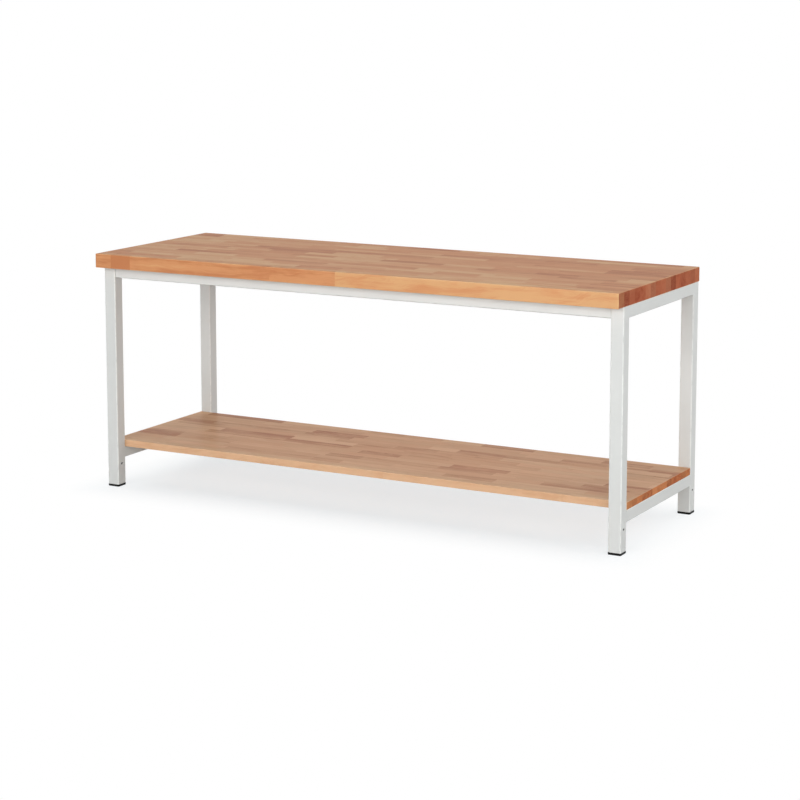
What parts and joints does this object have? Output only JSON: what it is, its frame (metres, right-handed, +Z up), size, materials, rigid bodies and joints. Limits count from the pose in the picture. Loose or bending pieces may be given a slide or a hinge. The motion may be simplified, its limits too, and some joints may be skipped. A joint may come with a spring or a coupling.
{
  "type": "assembly table",
  "caption": "Free-standing assembly table: thick beech worktop on a square steel tube frame, with a beech shelf low between its legs.",
  "frame": {"origin": "on the floor, under the middle of the worktop", "axes": "+X along the table to its right, +Y from its front to its back, +Z up"},
  "size_m": [2, 0.7, 0.85],
  "materials": {
    "beech_worktop": "oiled edge-glued beech staves, satin",
    "beech_shelf": "oiled edge-glued beech staves, satin",
    "powder_coated_steel": "light grey powder coat, fine orange peel, semi-gloss",
    "foot_plastic": "black moulded plastic, matt",
    "zinc_plated_steel": "bright zinc plating"
  },
  "bodies": {
    "root": {"worktop": "beech_worktop", "shelf_board": "beech_shelf", "leg_front_left": "powder_coated_steel", "leg_front_right": "powder_coated_steel", "leg_back_left": "powder_coated_steel", "leg_back_right": "powder_coated_steel", "upper_end_rail_left": "powder_coated_steel", "upper_end_rail_right": "powder_coated_steel", "lower_end_rail_left": "powder_coated_steel", "lower_end_rail_right": "powder_coated_steel", "long_rail_front": "powder_coated_steel", "long_rail_back": "powder_coated_steel", "corner_bracket_front_left": "powder_coated_steel", "corner_bracket_front_right": "powder_coated_steel", "corner_bracket_back_left": "powder_coated_steel", "corner_bracket_back_right": "powder_coated_steel", "weld_beads_left": "powder_coated_steel", "weld_beads_right": "powder_coated_steel", "foot_cap_front_left": "foot_plastic", "foot_cap_front_right": "foot_plastic", "foot_cap_back_left": "foot_plastic", "foot_cap_back_right": "foot_plastic", "frame_bolts": "zinc_plated_steel", "rivet_nuts": "zinc_plated_steel", "worktop_screws": "zinc_plated_steel", "shelf_screws": "zinc_plated_steel"}
  },
  "joints": []
}
